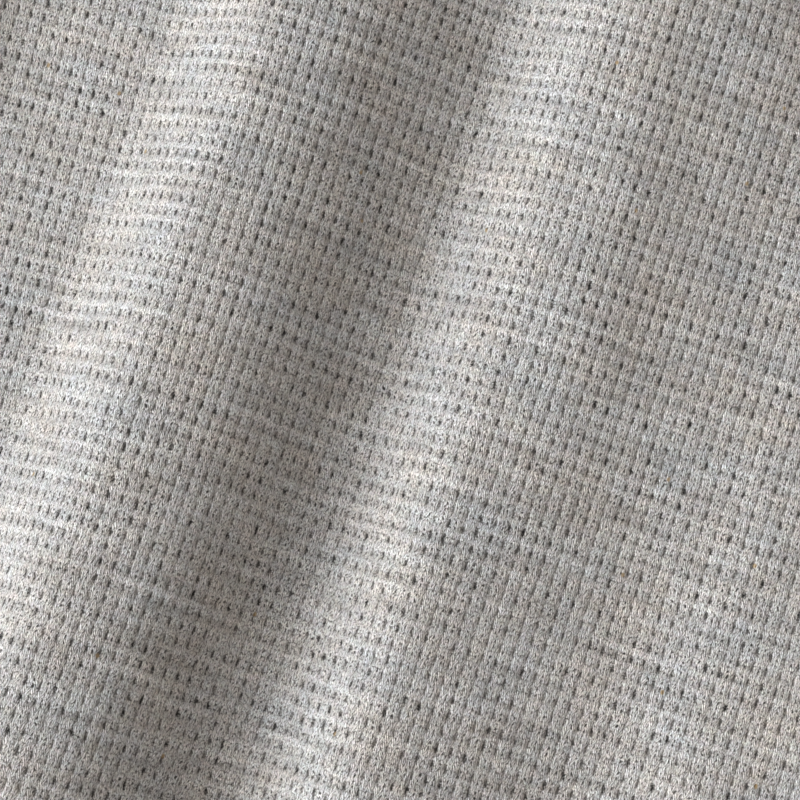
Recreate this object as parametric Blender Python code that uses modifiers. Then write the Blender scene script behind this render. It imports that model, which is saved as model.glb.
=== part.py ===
"""Long-sleeved waffle-knit thermal top, laid out flat on its back.

Metres, +Z up.  +Y runs from the hem to the neck and +X to the wearer's left.
The origin is on the underside of the back panel, at the middle of the body.
Every piece is a wall of cloth: an open surface, thickened by Solidify.
"""
import math

import bmesh
import bpy
import numpy as np

# ---------------------------------------------------------------- sizes
WALL = 0.0015            # waffle knit
RIB_WALL = 0.0020        # rib folded double, for the neckband and the cuffs
GAP = 0.0003             # between pieces at a seam
TUBE = 0.0046            # height of a flattened sleeve or cuff

HALF_HEM = 0.246         # half the flat width of the body, at three heights
HALF_WAIST = 0.243
HALF_CHEST = 0.250
HALF_SHOULDER = 0.215    # centre front to the shoulder tip
HEM_Y = -0.340
WAIST_Y = -0.110
UNDERARM_Y = 0.090
TIP_Y = 0.305            # shoulder tip
NECK_Y = 0.340           # where the neckline meets the shoulder seam
HALF_NECK = 0.090
ARMHOLE_SCOOP = 0.020
FRONT_DROP = 0.090       # depth of the front and back necklines
BACK_DROP = 0.022
BAND = 0.020             # width of the neckband
CUFF = 0.056             # length of a cuff
CUFF_TAPER = 0.90

BACK_TOP = WALL
FRONT_TOP = 2 * WALL + 2 * GAP      # upper face of the front where it lies flat
FRONT_EASE = 0.0005                 # extra clearance under the folds

COLUMNS, BODY_ROWS = 64, 9          # divisions of the front panel
BACK_COLUMNS, BACK_BODY_ROWS = 48, 3
ARMHOLE_ROWS = 7

# Folds, in plan.  A row is one crest: the place of its highest point, the
# angle it runs at (degrees from +Y towards +X), how far it reaches towards the
# hem and the neck, its height, its half-widths on the left and the right, and
# how far it bows sideways (metres per metre squared).
FOLD_COLUMNS = ("x", "y", "angle", "foot", "head", "height", "left", "right", "bow")
FOLDS = (
    # long folds down the middle of the front
    (-0.0345, -0.150, 1.8, 0.320, 0.300, 0.0155, 0.0200, 0.0300, 0.00),
    (0.0130, -0.060, 0.3, 0.400, 0.270, 0.0085, 0.0170, 0.0360, 0.00),
    (0.0680, -0.100, -1.0, 0.340, 0.270, 0.0040, 0.0400, 0.0250, 0.20),
    (-0.0870, -0.100, -1.0, 0.300, 0.230, 0.0075, 0.0270, 0.0220, -0.30),
    (0.1060, -0.030, 2.0, 0.330, 0.200, 0.0070, 0.0240, 0.0290, 0.25),
    (-0.1360, -0.150, 1.8, 0.230, 0.210, 0.0058, 0.0290, 0.0270, -0.30),
    (0.1560, -0.160, -2.6, 0.250, 0.200, 0.0052, 0.0300, 0.0300, 0.30),
    (-0.1800, -0.200, -4.0, 0.160, 0.150, 0.0034, 0.0260, 0.0240, 0.00),
    # broad lift of the cloth that the long folds stand on
    (0.0000, -0.050, 0.0, 0.260, 0.230, 0.0040, 0.1500, 0.1500, 0.00),
    # drag lines from the underarms to the chest
    (0.1500, 0.140, 60.0, 0.150, 0.080, 0.0042, 0.0140, 0.0200, 0.60),
    (-0.1500, 0.130, -56.0, 0.170, 0.090, 0.0042, 0.0190, 0.0140, -0.50),
    (0.1500, 0.075, 76.0, 0.110, 0.080, 0.0028, 0.0130, 0.0150, 0.40),
    (-0.1400, 0.205, -44.0, 0.130, 0.080, 0.0028, 0.0170, 0.0130, -0.40),
    (0.1320, 0.220, 40.0, 0.120, 0.070, 0.0024, 0.0130, 0.0150, 0.50),
    # across the chest, under the neckband
    (-0.0300, 0.205, 82.0, 0.070, 0.080, 0.0026, 0.0160, 0.0200, 0.80),
    # left sleeve: at the cap, the elbow and above the cuff
    (0.3100, 0.165, 118.0, 0.110, 0.090, 0.0055, 0.0150, 0.0200, 0.50),
    (0.3450, 0.100, 102.0, 0.100, 0.100, 0.0050, 0.0140, 0.0180, -0.60),
    (0.4150, 0.060, 96.0, 0.095, 0.090, 0.0052, 0.0130, 0.0180, 0.90),
    (0.4520, 0.005, 114.0, 0.080, 0.085, 0.0042, 0.0120, 0.0160, -0.70),
    (0.5150, -0.040, 138.0, 0.055, 0.090, 0.0036, 0.0120, 0.0140, 0.30),
    # right sleeve
    (-0.3050, 0.175, -114.0, 0.100, 0.100, 0.0052, 0.0180, 0.0140, -0.40),
    (-0.3500, 0.118, -126.0, 0.105, 0.095, 0.0048, 0.0180, 0.0140, 0.50),
    (-0.4020, 0.040, -102.0, 0.095, 0.095, 0.0050, 0.0170, 0.0130, -0.80),
    (-0.4520, 0.000, -120.0, 0.090, 0.075, 0.0040, 0.0150, 0.0120, 0.40),
    (-0.4950, -0.070, -142.0, 0.055, 0.085, 0.0034, 0.0140, 0.0120, 0.00),
)

# A sleeve, from the armhole to the wrist, laid down and out from the body.
# A row is one section: how far along the underarm edge it is from the last
# one, the way that edge runs (degrees below +X), the flat width there, and
# the direction of the section from the underarm edge to the top edge.
SLEEVE_COLUMNS = ("step", "heading", "width", "section")
SLEEVE = (
    (0.028, 46.0, 0.204, 88.0),
    (0.038, 43.0, 0.191, 78.0),
    (0.046, 42.0, 0.175, 69.0),
    (0.052, 42.0, 0.160, 62.0),
    (0.058, 43.0, 0.146, 57.0),
    (0.059, 43.0, 0.132, 53.0),
    (0.060, 43.0, 0.117, 50.0),
    (0.059, 42.0, 0.102, 48.0),
)
RIGHT_TURN = 5.0         # the right sleeve lies this much closer to the body
UNDER_POINTS = 4         # divisions across the under face of a tube

CLOTH = (0.43, 0.42, 0.40, 1.0)
RIB = (0.41, 0.40, 0.385, 1.0)


# ---------------------------------------------------------------- shape
def smooth(t):
    t = np.clip(t, 0.0, 1.0)
    return t * t * (3.0 - 2.0 * t)


def fold_height(x, y):
    """Height of the cloth above where it would lie flat, at a plan point."""
    x, y = np.asarray(x, float), np.asarray(y, float)
    z = np.zeros(np.broadcast(x, y).shape)
    for row in FOLDS:
        f = dict(zip(FOLD_COLUMNS, row))
        a = math.radians(f["angle"])
        dx, dy = x - f["x"], y - f["y"]
        along = dx * math.sin(a) + dy * math.cos(a)
        across = dx * math.cos(a) - dy * math.sin(a) - f["bow"] * along ** 2
        reach = np.where(along > 0, along / f["head"], -along / f["foot"])
        side = np.where(across > 0, across / f["right"], -across / f["left"])
        z += (f["height"] * np.clip(1 - reach ** 2, 0, 1) ** 2
              * np.cos(np.clip(side, 0, 1) ** 1.15 * math.pi / 2) ** 2)
    return z


def half_width(v):
    """Half the cut width of a body panel at height v: side seam, then armhole."""
    v = np.asarray(v, float)
    side = np.where(v < WAIST_Y,
                    HALF_WAIST + (HALF_HEM - HALF_WAIST) * smooth((WAIST_Y - v) / (WAIST_Y - HEM_Y)),
                    HALF_WAIST + (HALF_CHEST - HALF_WAIST) * smooth((v - WAIST_Y) / (UNDERARM_Y - WAIST_Y)))
    a = np.clip((v - UNDERARM_Y) / (TIP_Y - UNDERARM_Y), 0, 1)
    armhole = (HALF_SHOULDER + (HALF_CHEST - HALF_SHOULDER) * (1 - a) ** 4
               - ARMHOLE_SCOOP * np.sin(math.pi * a ** 0.7))
    return np.where(v < UNDERARM_Y, side, armhole)


def cut_point(s, t, drop):
    """Cut-pattern point (u, v) of a body panel: s is -1 to 1 across it and
    t is 0 to 1 from the hem to the shoulders and the neckline."""
    level = HEM_Y + t * (TIP_Y - HEM_Y)
    bend = smooth((level - 0.02) / (TIP_Y - 0.02))
    in_neck = np.abs(s) <= 0.5
    shoulder = (np.abs(s) - 0.5) / 0.5
    top_x = np.where(in_neck, HALF_NECK * np.sin(math.pi * s),
                     np.sign(s) * (HALF_NECK + (HALF_SHOULDER - HALF_NECK) * shoulder))
    top_y = np.where(in_neck, NECK_Y - drop * np.cos(math.pi * np.clip(s, -0.5, 0.5)),
                     NECK_Y + (TIP_Y - NECK_Y) * shoulder)
    u = ((1 - bend) * s + bend * top_x / HALF_SHOULDER) * half_width(level)
    return u, level + bend * (top_y - TIP_Y)


def laid_x(u, v):
    """Plan x of a cut point, with the cloth's width measured over the folds."""
    u, v = np.asarray(u, float), np.asarray(v, float)
    steps = 120
    du = u / steps
    x = np.zeros_like(u)
    for _ in range(steps):
        slope = (fold_height(x + 0.0005, v) - fold_height(x - 0.0005, v)) / 0.001
        x = x + du / np.sqrt(1 + slope ** 2)
    return x


def drift(points):
    """The small, slow waver of a garment smoothed out by hand: the outline and
    everything in it shifts a few millimetres in plan."""
    x, y = points[..., 0], points[..., 1]
    dx = 0.0045 * np.cos(7.5 * (y + 0.06))
    dy = 0.0045 * np.cos(8.0 * x) + 0.0030 * np.sin(21.0 * x - 1.0) * smooth((-0.12 - y) / 0.20)
    return points + np.stack([dx, dy, np.zeros_like(dx)], -1)


def side_x(v, sign):
    """Plan x of the body's edge on one side."""
    return laid_x(sign * half_width(v), v)


# Where the rows of a panel, and the rings of a sleeve, meet the armhole: a
# share from 0 at the underarm to 1 at the shoulder tip, closer at the underarm.
ARMHOLE_SHARES = (np.arange(ARMHOLE_ROWS + 1) / ARMHOLE_ROWS) ** 1.35


# ---------------------------------------------------------------- building
for old in list(bpy.data.objects):
    bpy.data.objects.remove(old, do_unlink=True)

top = bpy.data.collections.new("thermal_top")
bpy.context.scene.collection.children.link(top)


def material(name, color, roughness):
    m = bpy.data.materials.new(name)
    m.use_nodes = True
    shader = m.node_tree.nodes["Principled BSDF"]
    shader.inputs["Base Color"].default_value = color
    shader.inputs["Roughness"].default_value = roughness
    shader.inputs["Metallic"].default_value = 0.0
    return m


def grid_object(name, points, wall, color, closed=False):
    """A sheet through rows of points, thickened away from its front face.  A
    closed one is welded to a tube or a ring along its first and last column."""
    points = drift(points)
    rows, columns = points.shape[:2]
    bm = bmesh.new()
    bmesh.ops.create_grid(bm, x_segments=columns - 1, y_segments=rows - 1, size=0.5)
    bm.verts.ensure_lookup_table()
    for vert in bm.verts:
        i = int(round((vert.co.y + 0.5) * (rows - 1)))
        j = int(round((vert.co.x + 0.5) * (columns - 1)))
        vert.co = points[i, j]
    if closed:
        bmesh.ops.remove_doubles(bm, verts=bm.verts, dist=1e-6)
    mesh = bpy.data.meshes.new(name)
    bm.to_mesh(mesh)
    bm.free()
    mesh.shade_smooth()
    obj = bpy.data.objects.new(name, mesh)
    top.objects.link(obj)
    obj.data.materials.append(material(name, color, 0.95))
    mod = obj.modifiers.new("wall", "SOLIDIFY")
    mod.thickness = wall
    mod.offset = -1.0
    mod.use_even_offset = not closed
    mod.use_rim = True
    return obj


# body panels
def panel_grid(columns, body_rows, drop):
    body = np.linspace(HEM_Y, UNDERARM_Y, body_rows + 1)[:-1]
    armhole = UNDERARM_Y + ARMHOLE_SHARES * (TIP_Y - UNDERARM_Y)
    t = (np.concatenate([body, armhole]) - HEM_Y) / (TIP_Y - HEM_Y)
    s = np.linspace(-1, 1, columns + 1)
    return cut_point(*np.meshgrid(s, t), drop)


u, v = panel_grid(COLUMNS, BODY_ROWS, FRONT_DROP)
x = laid_x(u, v)
lift = fold_height(x, v) * smooth((half_width(v) - np.abs(u)) / 0.025)
z = FRONT_TOP + lift + FRONT_EASE * smooth(lift / 0.002)
grid_object("front", np.stack([x, v, z], -1), WALL, CLOTH)

u, v = panel_grid(BACK_COLUMNS, BACK_BODY_ROWS, BACK_DROP)
edge = np.where(u < 0, -side_x(v, -1), side_x(v, 1)) / half_width(v)
grid_object("back", np.stack([u * edge, v, np.full_like(u, BACK_TOP)], -1), WALL, CLOTH)


# sleeves and cuffs
def sleeve_sections(sign):
    """Underarm edge and top edge of each section, in plan."""
    turn = RIGHT_TURN if sign < 0 else 0.0
    foot = np.array([HALF_CHEST + GAP, UNDERARM_Y])
    sections = []
    for k, row in enumerate(SLEEVE):
        f = dict(zip(SLEEVE_COLUMNS, row))
        share = (k + 1) / len(SLEEVE)
        heading = math.radians(f["heading"] + turn * share)
        across = math.radians(f["section"] - turn * share)
        foot = foot + f["step"] * np.array([math.cos(heading), -math.sin(heading)])
        head = foot + f["width"] * np.array([math.cos(across), math.sin(across)])
        sections.append((foot * [sign, 1], head * [sign, 1]))
    return sections


ARMHOLE_Y = UNDERARM_Y + ARMHOLE_SHARES * (TIP_Y - UNDERARM_Y)
ARMHOLES = {sign: np.stack([side_x(ARMHOLE_Y, sign), ARMHOLE_Y], -1) for sign in (1, -1)}


def armhole_points(sign, share, out=0.0):
    """Points of the armhole, share 0 at the underarm to 1 at the shoulder tip,
    moved out from the body by a distance."""
    line = ARMHOLES[sign]
    run = np.diff(line, axis=0)
    run /= np.linalg.norm(run, axis=1, keepdims=True)
    run = np.vstack([run[:1], run[1:] + run[:-1], run[-1:]])
    run /= np.linalg.norm(run, axis=1, keepdims=True)
    line = line + out * np.stack([run[:, 1], -run[:, 0]], -1) * sign
    return np.stack([np.interp(share, ARMHOLE_SHARES, line[:, i]) for i in (0, 1)], -1)


def tube_ring(plan, lift, height):
    """One ring round a flattened tube.  plan gives the plan point at a share
    across it, 0 at the underarm edge, and lift adds folds to its upper face."""
    ends = plan(np.array([0.0, 1.0]))
    edge = 0.5 * height / np.linalg.norm(ends[1] - ends[0])
    upper = np.concatenate([[1 - edge], ARMHOLE_SHARES[-2:0:-1], [edge]])
    under = np.linspace(edge, 1 - edge, UNDER_POINTS + 1)
    share = np.concatenate([[1.0], upper, [0.0], under, [1.0]])
    xy = plan(share)
    z = np.concatenate([[height / 2], np.full(len(upper), height), [height / 2],
                        np.zeros(len(under)), [height / 2]])
    if lift:
        rise = fold_height(xy[:, 0], xy[:, 1]) * (1 - np.abs(2 * share - 1) ** 4)
        z[1:len(upper) + 1] += rise[1:len(upper) + 1]
    return np.column_stack([xy, z])


def sleeve(sign, name):
    sections = sleeve_sections(sign)
    arm_ends = armhole_points(sign, np.array([0.0, 1.0]))
    rings = [tube_ring(lambda q: armhole_points(sign, q, out=4 * GAP), False, TUBE)]
    previous = tuple(arm_ends)
    for k, section in enumerate(sections):
        # a ring at the section, and one halfway to it from the last
        for share in (0.5, 1.0) if k else (1.0,):
            foot = previous[0] + share * (section[0] - previous[0])
            head = previous[1] + share * (section[1] - previous[1])
            cap = max(0.0, 1 - (k + share) / 3) ** 3      # how much armhole curve is left

            def plan(q, foot=foot, head=head, cap=cap):
                bulge = armhole_points(sign, q) - arm_ends[0] - q[:, None] * (arm_ends[1] - arm_ends[0])
                return foot + q[:, None] * (head - foot) + cap * bulge
            rings.append(tube_ring(plan, True, TUBE))
        previous = section
    points = np.array(rings)
    grid_object(name, points if sign > 0 else points[:, ::-1], WALL, CLOTH, closed=True)
    return sections[-1]


def cuff(sign, name, foot, head):
    across = head - foot
    down = np.array([across[1], -across[0]]) * sign / np.linalg.norm(across)
    middle = 0.5 * (foot + head)
    rings = []
    for share, width in ((0.0, 0.97), (0.12, 0.93), (0.6, CUFF_TAPER), (1.0, CUFF_TAPER)):
        centre = middle + down * (GAP * 2 + share * CUFF)
        rings.append(tube_ring(lambda q, c=centre, w=width: c + (q[:, None] - 0.5) * across * w,
                               False, TUBE + 0.0006))
    points = np.array(rings)
    grid_object(name, points if sign > 0 else points[:, ::-1], RIB_WALL, RIB, closed=True)


for sign, side in ((1, "left"), (-1, "right")):
    wrist = sleeve(sign, "sleeve_" + side)
    cuff(sign, "cuff_" + side, *wrist)


# neckband: a ring that lies on the front, folds over at the shoulder line and
# comes back along the back neckline underneath.  A row is one edge of it.
def band_ring():
    steps = 24
    seam_z, free_z = 0.0046, 0.0058
    edges = []
    for share in (0.0, 0.5, 1.0):                    # seam, middle, free edge
        wide = HALF_NECK - GAP - share * BAND
        y0 = NECK_Y + share * 0.004
        top_z = seam_z + share * (free_z - seam_z)
        front_drop = FRONT_DROP - GAP - share * (BAND - 0.004)
        back_drop = BACK_DROP - GAP - share * (BAND - 0.004)
        path = []
        for k in range(steps + 1):
            a = math.pi * (1 - k / steps)
            path.append((wide * math.cos(a), y0 - front_drop * math.sin(a), top_z))
        for b in (45, 0, -45):
            b = math.radians(b)
            path.append((wide, y0 + top_z / 2 * math.cos(b), top_z / 2 * (1 + math.sin(b))))
        for k in range(steps + 1):
            a = math.pi * k / steps
            path.append((wide * math.cos(a), y0 - back_drop * math.sin(a), 0.0))
        for b in (-45, 0, 45):
            b = math.radians(b)
            path.append((-wide, y0 + top_z / 2 * math.cos(b), top_z / 2 * (1 + math.sin(b))))
        path.append(path[0])
        edges.append(path)
    return np.array(edges)


grid_object("neckband", band_ring(), RIB_WALL, RIB, closed=True)
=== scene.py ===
"""Looks of the long-sleeved waffle-knit thermal top, laid out flat on its back.

Metres, +Z up, +Y from the hem to the neck, +X to the wearer's left.
"""
import math
import bpy
import numpy as np
from mathutils import Matrix, Vector
from mathutils.geometry import delaunay_2d_cdt


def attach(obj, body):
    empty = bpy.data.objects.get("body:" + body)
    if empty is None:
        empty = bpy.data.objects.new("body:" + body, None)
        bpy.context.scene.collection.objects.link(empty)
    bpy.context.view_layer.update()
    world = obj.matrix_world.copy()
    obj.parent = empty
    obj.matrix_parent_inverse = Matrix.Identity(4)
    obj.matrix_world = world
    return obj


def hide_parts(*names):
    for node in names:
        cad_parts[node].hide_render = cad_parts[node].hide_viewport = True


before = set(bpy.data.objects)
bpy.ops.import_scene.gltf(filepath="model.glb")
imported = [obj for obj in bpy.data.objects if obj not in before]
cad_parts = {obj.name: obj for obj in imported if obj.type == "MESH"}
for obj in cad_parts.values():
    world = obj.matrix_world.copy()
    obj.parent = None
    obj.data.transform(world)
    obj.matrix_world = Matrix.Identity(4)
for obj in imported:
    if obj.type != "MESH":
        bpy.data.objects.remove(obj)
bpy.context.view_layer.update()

# ---------------------------------------------------------------- sizes
# the same as the CAD part's
WALL, RIB_WALL, GAP, TUBE = 0.0015, 0.0020, 0.0003, 0.0046
HALF_HEM, HALF_WAIST, HALF_CHEST, HALF_SHOULDER = 0.246, 0.243, 0.250, 0.215
HEM_Y, WAIST_Y, UNDERARM_Y, TIP_Y, NECK_Y = -0.340, -0.110, 0.090, 0.305, 0.340
HALF_NECK, ARMHOLE_SCOOP, FRONT_DROP, BACK_DROP = 0.090, 0.020, 0.090, 0.022
BAND, CUFF, CUFF_TAPER = 0.020, 0.056, 0.90
FRONT_TOP, FRONT_EASE = 2 * WALL + 2 * GAP, 0.0005
RIGHT_TURN = 5.0

# the knit: a cell is two wales across and three courses along
CELL_U, CELL_V = 0.0020, 0.0022
WALE, COURSE = CELL_U / 2, CELL_V / 3
HEM_TURN = 0.020                 # depth of the turned hem
RIB_PITCH = 0.0024

FOLD_COLUMNS = ("x", "y", "angle", "foot", "head", "height", "left", "right", "bow")
FOLDS = (
    (-0.0345, -0.150, 1.8, 0.320, 0.300, 0.0155, 0.0200, 0.0300, 0.00),
    (0.0130, -0.060, 0.3, 0.400, 0.270, 0.0085, 0.0170, 0.0360, 0.00),
    (0.0680, -0.100, -1.0, 0.340, 0.270, 0.0040, 0.0400, 0.0250, 0.20),
    (-0.0870, -0.100, -1.0, 0.300, 0.230, 0.0075, 0.0270, 0.0220, -0.30),
    (0.1060, -0.030, 2.0, 0.330, 0.200, 0.0070, 0.0240, 0.0290, 0.25),
    (-0.1360, -0.150, 1.8, 0.230, 0.210, 0.0058, 0.0290, 0.0270, -0.30),
    (0.1560, -0.160, -2.6, 0.250, 0.200, 0.0052, 0.0300, 0.0300, 0.30),
    (-0.1800, -0.200, -4.0, 0.160, 0.150, 0.0034, 0.0260, 0.0240, 0.00),
    (0.0000, -0.050, 0.0, 0.260, 0.230, 0.0040, 0.1500, 0.1500, 0.00),
    (0.1500, 0.140, 60.0, 0.150, 0.080, 0.0042, 0.0140, 0.0200, 0.60),
    (-0.1500, 0.130, -56.0, 0.170, 0.090, 0.0042, 0.0190, 0.0140, -0.50),
    (0.1500, 0.075, 76.0, 0.110, 0.080, 0.0028, 0.0130, 0.0150, 0.40),
    (-0.1400, 0.205, -44.0, 0.130, 0.080, 0.0028, 0.0170, 0.0130, -0.40),
    (0.1320, 0.220, 40.0, 0.120, 0.070, 0.0024, 0.0130, 0.0150, 0.50),
    (-0.0300, 0.205, 82.0, 0.070, 0.080, 0.0026, 0.0160, 0.0200, 0.80),
    (0.3100, 0.165, 118.0, 0.110, 0.090, 0.0055, 0.0150, 0.0200, 0.50),
    (0.3450, 0.100, 102.0, 0.100, 0.100, 0.0050, 0.0140, 0.0180, -0.60),
    (0.4150, 0.060, 96.0, 0.095, 0.090, 0.0052, 0.0130, 0.0180, 0.90),
    (0.4520, 0.005, 114.0, 0.080, 0.085, 0.0042, 0.0120, 0.0160, -0.70),
    (0.5150, -0.040, 138.0, 0.055, 0.090, 0.0036, 0.0120, 0.0140, 0.30),
    (-0.3050, 0.175, -114.0, 0.100, 0.100, 0.0052, 0.0180, 0.0140, -0.40),
    (-0.3500, 0.118, -126.0, 0.105, 0.095, 0.0048, 0.0180, 0.0140, 0.50),
    (-0.4020, 0.040, -102.0, 0.095, 0.095, 0.0050, 0.0170, 0.0130, -0.80),
    (-0.4520, 0.000, -120.0, 0.090, 0.075, 0.0040, 0.0150, 0.0120, 0.40),
    (-0.4950, -0.070, -142.0, 0.055, 0.085, 0.0034, 0.0140, 0.0120, 0.00),
)
# small creases, which the solids don't have: the same columns
CREASES = (
    # body: low ridges along the sides of the two tallest folds, and beside them
    (-0.0165, -0.090, 2.0, 0.095, 0.060, 0.0013, 0.0120, 0.0080, 0.00),
    (-0.0380, -0.037, 5.0, 0.055, 0.060, 0.0008, 0.0110, 0.0110, 0.00),
    (0.0075, -0.093, 0.0, 0.070, 0.040, 0.0008, 0.0090, 0.0140, 0.00),
    (0.0410, -0.015, -5.0, 0.055, 0.060, 0.0015, 0.0170, 0.0160, 0.00),
    (0.0490, -0.078, -7.0, 0.065, 0.060, 0.0013, 0.0180, 0.0140, 0.00),
    # and soft troughs between them
    (0.0230, -0.082, -4.0, 0.045, 0.040, -0.0009, 0.0160, 0.0130, 0.00),
    (0.0090, -0.025, 0.0, 0.045, 0.050, -0.0007, 0.0130, 0.0130, 0.00),
    # body: short ones that run off the long folds, and puckers over the hem
    (-0.1150, -0.215, 24.0, 0.050, 0.060, 0.0013, 0.0100, 0.0120, 0.80),
    (0.1220, -0.235, -30.0, 0.045, 0.060, 0.0012, 0.0110, 0.0100, -0.60),
    (-0.2050, -0.080, 12.0, 0.075, 0.060, 0.0015, 0.0110, 0.0130, 0.90),
    (0.2080, -0.050, -9.0, 0.080, 0.070, 0.0014, 0.0130, 0.0110, -0.70),
    (-0.1900, 0.020, 38.0, 0.050, 0.045, 0.0014, 0.0100, 0.0100, 0.50),
    (0.1860, 0.010, -34.0, 0.055, 0.045, 0.0013, 0.0110, 0.0100, 0.50),
    (-0.0620, 0.235, -62.0, 0.045, 0.035, 0.0010, 0.0090, 0.0100, 0.90),
    (0.0700, 0.215, 58.0, 0.050, 0.035, 0.0011, 0.0100, 0.0090, -0.90),
    (-0.1750, 0.255, -20.0, 0.040, 0.030, 0.0009, 0.0090, 0.0090, 0.00),
    (0.1800, 0.180, 48.0, 0.040, 0.035, 0.0011, 0.0090, 0.0090, 0.40),
    (-0.2200, -0.255, -6.0, 0.050, 0.050, 0.0010, 0.0100, 0.0110, 0.00),
    (0.2150, -0.270, 8.0, 0.045, 0.055, 0.0010, 0.0110, 0.0100, 0.00),
    # left sleeve
    (0.2750, 0.205, 128.0, 0.050, 0.045, 0.0018, 0.0110, 0.0120, 0.60),
    (0.2820, 0.120, 96.0, 0.045, 0.040, 0.0016, 0.0100, 0.0110, -0.50),
    (0.3850, 0.135, 112.0, 0.040, 0.035, 0.0017, 0.0090, 0.0110, 0.80),
    (0.3900, 0.030, 72.0, 0.045, 0.040, 0.0018, 0.0100, 0.0100, -0.70),
    (0.4750, 0.070, 128.0, 0.040, 0.035, 0.0016, 0.0090, 0.0100, 0.50),
    (0.4850, -0.040, 82.0, 0.035, 0.040, 0.0017, 0.0090, 0.0090, -0.80),
    (0.5050, -0.005, 150.0, 0.040, 0.035, 0.0014, 0.0080, 0.0090, 0.00),
    (0.5420, -0.070, 128.0, 0.034, 0.040, 0.0011, 0.0090, 0.0090, 0.40),
    (0.5200, -0.085, 100.0, 0.028, 0.028, 0.0010, 0.0080, 0.0090, 0.00),
    # right sleeve
    (-0.2650, 0.215, -122.0, 0.050, 0.045, 0.0017, 0.0110, 0.0110, -0.60),
    (-0.2780, 0.110, -98.0, 0.045, 0.040, 0.0017, 0.0110, 0.0100, 0.50),
    (-0.3800, 0.110, -110.0, 0.040, 0.035, 0.0016, 0.0090, 0.0100, -0.80),
    (-0.3600, 0.050, -66.0, 0.045, 0.040, 0.0018, 0.0100, 0.0100, 0.70),
    (-0.4500, 0.060, -124.0, 0.040, 0.035, 0.0016, 0.0090, 0.0100, -0.50),
    (-0.4400, -0.045, -84.0, 0.035, 0.040, 0.0016, 0.0090, 0.0090, 0.80),
    (-0.4950, -0.020, -152.0, 0.040, 0.035, 0.0014, 0.0080, 0.0090, 0.00),
    (-0.5280, -0.090, -124.0, 0.034, 0.040, 0.0011, 0.0090, 0.0090, 0.00),
    (-0.5000, -0.110, -100.0, 0.028, 0.028, 0.0010, 0.0080, 0.0090, 0.00),
)

SLEEVE_COLUMNS = ("step", "heading", "width", "section")
SLEEVE = (
    (0.028, 46.0, 0.204, 88.0),
    (0.038, 43.0, 0.191, 78.0),
    (0.046, 42.0, 0.175, 69.0),
    (0.052, 42.0, 0.160, 62.0),
    (0.058, 43.0, 0.146, 57.0),
    (0.059, 43.0, 0.132, 53.0),
    (0.060, 43.0, 0.117, 50.0),
    (0.059, 42.0, 0.102, 48.0),
)
ARMHOLE_ROWS = 7
ARMHOLE_SHARES = (np.arange(ARMHOLE_ROWS + 1) / ARMHOLE_ROWS) ** 1.35

# ---------------------------------------------------------------- camera sizes
LEAN = math.radians(18.5)        # how far the wales lean to the right of upright
CAMERA_RISE = math.radians(80.7)  # elevation of the line of sight
CAMERA_REACH = 0.300
CAMERA_SPAN = 0.1105             # width of cloth across the picture, at the target
SENSOR = 0.036
TARGET = Vector((0.0045, -0.0555, 0.0110))
IMAGE_SIDE = 800


# ---------------------------------------------------------------- form
def smooth(t):
    t = np.clip(t, 0.0, 1.0)
    return t * t * (3.0 - 2.0 * t)


def ridges(table, x, y):
    """Height that a table of folds or creases adds at a plan point."""
    x, y = np.asarray(x, float), np.asarray(y, float)
    z = np.zeros(np.broadcast(x, y).shape)
    for row in table:
        f = dict(zip(FOLD_COLUMNS, row))
        a = math.radians(f["angle"])
        dx, dy = x - f["x"], y - f["y"]
        along = dx * math.sin(a) + dy * math.cos(a)
        across = dx * math.cos(a) - dy * math.sin(a) - f["bow"] * along ** 2
        reach = np.where(along > 0, along / f["head"], -along / f["foot"])
        side = np.where(across > 0, across / f["right"], -across / f["left"])
        z += (f["height"] * np.clip(1 - reach ** 2, 0, 1) ** 2
              * np.cos(np.clip(side, 0, 1) ** 1.15 * math.pi / 2) ** 2)
    return z


def fold_height(x, y):
    return ridges(FOLDS, x, y)


def half_width(v):
    v = np.asarray(v, float)
    side = np.where(v < WAIST_Y,
                    HALF_WAIST + (HALF_HEM - HALF_WAIST) * smooth((WAIST_Y - v) / (WAIST_Y - HEM_Y)),
                    HALF_WAIST + (HALF_CHEST - HALF_WAIST) * smooth((v - WAIST_Y) / (UNDERARM_Y - WAIST_Y)))
    a = np.clip((v - UNDERARM_Y) / (TIP_Y - UNDERARM_Y), 0, 1)
    armhole = (HALF_SHOULDER + (HALF_CHEST - HALF_SHOULDER) * (1 - a) ** 4
               - ARMHOLE_SCOOP * np.sin(math.pi * a ** 0.7))
    return np.where(v < UNDERARM_Y, side, armhole)


def drift(points):
    """The small, slow waver of a garment smoothed out by hand."""
    x, y = points[..., 0], points[..., 1]
    dx = 0.0045 * np.cos(7.5 * (y + 0.06))
    dy = 0.0045 * np.cos(8.0 * x) + 0.0030 * np.sin(21.0 * x - 1.0) * smooth((-0.12 - y) / 0.20)
    return points + np.stack([dx, dy, np.zeros_like(dx)], -1)


# plan x of a cut point, the cloth's width being measured over the folds
LAY_X = np.arange(-0.290, 0.2901, 0.0005)
LAY_V = np.arange(-0.350, 0.3501, 0.0025)
LAY_U = np.arange(-0.265, 0.2651, 0.0005)


def lay_table():
    height = fold_height(*np.meshgrid(LAY_X, LAY_V))
    step = LAY_X[1] - LAY_X[0]
    run = np.sqrt(1 + np.gradient(height, step, axis=1) ** 2)
    length = np.concatenate([np.zeros((len(LAY_V), 1)),
                             np.cumsum(0.5 * (run[:, 1:] + run[:, :-1]) * step, axis=1)], 1)
    middle = len(LAY_X) // 2
    length -= length[:, middle:middle + 1]
    return np.array([np.interp(LAY_U, row, LAY_X) for row in length])


LAY = lay_table()


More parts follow.
